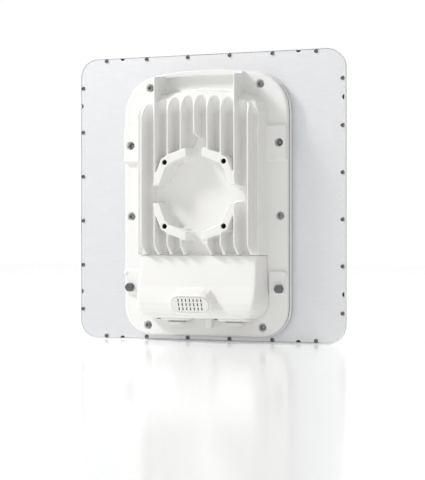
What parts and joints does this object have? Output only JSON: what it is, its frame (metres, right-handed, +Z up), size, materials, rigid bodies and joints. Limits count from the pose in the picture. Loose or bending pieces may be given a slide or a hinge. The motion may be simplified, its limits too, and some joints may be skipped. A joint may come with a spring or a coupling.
{
  "type": "outdoor wireless bridge",
  "caption": "Outdoor point-to-point radio bridge: flat-panel antenna with a white radome and a brushed back plate, finned die-cast housing, mast ring and sealed cable ports.",
  "frame": {"origin": "centre of the mounting ring, in the plane of its four pads", "axes": "+Z up, +Y towards the radiating face, -Y towards the mast, +X to the right as seen from the mast side"},
  "size_m": [0.371, 0.081, 0.371],
  "materials": {
    "housing_paint": "warm white powder coat on die-cast aluminium, fine orange-peel texture",
    "radome_plastic": "white UV-stable ASA moulding, satin",
    "plate_aluminium": "brushed along the width, clear passivated",
    "screw_steel": "stainless steel",
    "dark_steel": "stainless hex head, dark dry-film lubricant",
    "tinned_steel": "tin plated",
    "patch_film": "polyester film with foil patches",
    "thermal_pad_rubber": "soft silicone gap pad",
    "seal_rubber": "black silicone",
    "seal_silicone": "light grey silicone",
    "circuit_board": "solder mask over glass-fibre laminate",
    "spacer_foam": "closed-cell foam sheet",
    "contact_brass": "gold-flashed brass",
    "grille_plastic": "white moulded insert",
    "black_plastic": "moulded nylon, satin",
    "plug_plastic": "light grey moulded nylon, satin"
  },
  "bodies": {
    "bridge": {"antenna_plate": "plate_aluminium", "radome": "radome_plastic", "radome_seal": "seal_rubber", "feed_spacer": "spacer_foam", "feed_board": "circuit_board", "patch_spacer": "spacer_foam", "patch_sheet": "patch_film", "antenna_screw_1": "screw_steel", "antenna_screw_2": "screw_steel", "antenna_screw_3": "screw_steel", "antenna_screw_4": "screw_steel", "antenna_screw_5": "screw_steel", "antenna_screw_6": "screw_steel", "feed_bullet_horizontal": "contact_brass", "feed_bullet_vertical": "contact_brass", "front_shell": "housing_paint", "housing_gasket": "seal_rubber", "rear_housing": "housing_paint", "housing_screw_1": "screw_steel", "housing_screw_2": "screw_steel", "housing_screw_3": "screw_steel", "housing_screw_4": "screw_steel", "housing_screw_5": "screw_steel", "housing_screw_6": "screw_steel", "housing_screw_7": "screw_steel", "housing_screw_8": "screw_steel", "connector_hood": "housing_paint", "hood_screw_1": "screw_steel", "hood_screw_2": "screw_steel", "sound_grille": "grille_plastic", "sound_membrane": "black_plastic", "alignment_sounder": "black_plastic", "main_board": "circuit_board", "board_screw_1": "screw_steel", "board_screw_2": "screw_steel", "board_screw_3": "screw_steel", "board_screw_4": "screw_steel", "radio_shield": "tinned_steel", "processor": "black_plastic", "thermal_pad": "thermal_pad_rubber", "left_power_amplifier": "black_plastic", "left_amplifier_pad": "thermal_pad_rubber", "right_power_amplifier": "black_plastic", "right_amplifier_pad": "thermal_pad_rubber", "power_converter": "black_plastic", "port_board": "circuit_board", "surge_arrestor": "tinned_steel", "board_link": "black_plastic", "ethernet_jack": "tinned_steel", "fibre_module_cage": "tinned_steel"},
    "left_plug_seal_body": {"left_plug_seal": "seal_silicone"},
    "left_port_plug_body": {"left_port_plug": "plug_plastic"},
    "right_plug_seal_body": {"right_plug_seal": "seal_silicone"},
    "right_port_plug_body": {"right_port_plug": "plug_plastic"},
    "left_ground_washer_body": {"left_ground_washer": "tinned_steel"},
    "left_ground_screw_body": {"left_ground_screw": "dark_steel"},
    "right_ground_washer_body": {"right_ground_washer": "tinned_steel"},
    "right_ground_screw_body": {"right_ground_screw": "dark_steel"}
  },
  "joints": [
    {"name": "left_plug_slide", "type": "slide", "parent": "bridge", "child": "left_plug_seal_body", "axis": [0, 0, -1], "range_m": [0, 0.012]},
    {"name": "left_plug_turn", "type": "hinge", "parent": "left_plug_seal_body", "child": "left_port_plug_body", "pos_m": [-0.032, 0.0206, -0.1644], "axis": [0, 0, -1], "range_deg": [0, 2900]},
    {"name": "right_plug_slide", "type": "slide", "parent": "bridge", "child": "right_plug_seal_body", "axis": [0, 0, -1], "range_m": [0, 0.012]},
    {"name": "right_plug_turn", "type": "hinge", "parent": "right_plug_seal_body", "child": "right_port_plug_body", "pos_m": [0.047, 0.0206, -0.1644], "axis": [0, 0, -1], "range_deg": [0, 2900]},
    {"name": "left_ground_screw_slide", "type": "slide", "parent": "bridge", "child": "left_ground_washer_body", "axis": [0, -1, 0], "range_m": [0, 0.008]},
    {"name": "left_ground_screw_turn", "type": "hinge", "parent": "left_ground_washer_body", "child": "left_ground_screw_body", "pos_m": [-0.1036, 0.0276, -0.1194], "axis": [0, -1, 0], "range_deg": [0, 2900]},
    {"name": "right_ground_screw_slide", "type": "slide", "parent": "bridge", "child": "right_ground_washer_body", "axis": [0, -1, 0], "range_m": [0, 0.008]},
    {"name": "right_ground_screw_turn", "type": "hinge", "parent": "right_ground_washer_body", "child": "right_ground_screw_body", "pos_m": [0.1036, 0.0276, -0.1194], "axis": [0, -1, 0], "range_deg": [0, 2900]}
  ],
  "couplings": [
    {"joint": "left_plug_turn", "follows": "left_plug_slide", "rad_per_m": 4188.8},
    {"joint": "right_plug_turn", "follows": "right_plug_slide", "rad_per_m": 4188.8},
    {"joint": "left_ground_screw_turn", "follows": "left_ground_screw_slide", "rad_per_m": 6283.2},
    {"joint": "right_ground_screw_turn", "follows": "right_ground_screw_slide", "rad_per_m": 6283.2}
  ]
}
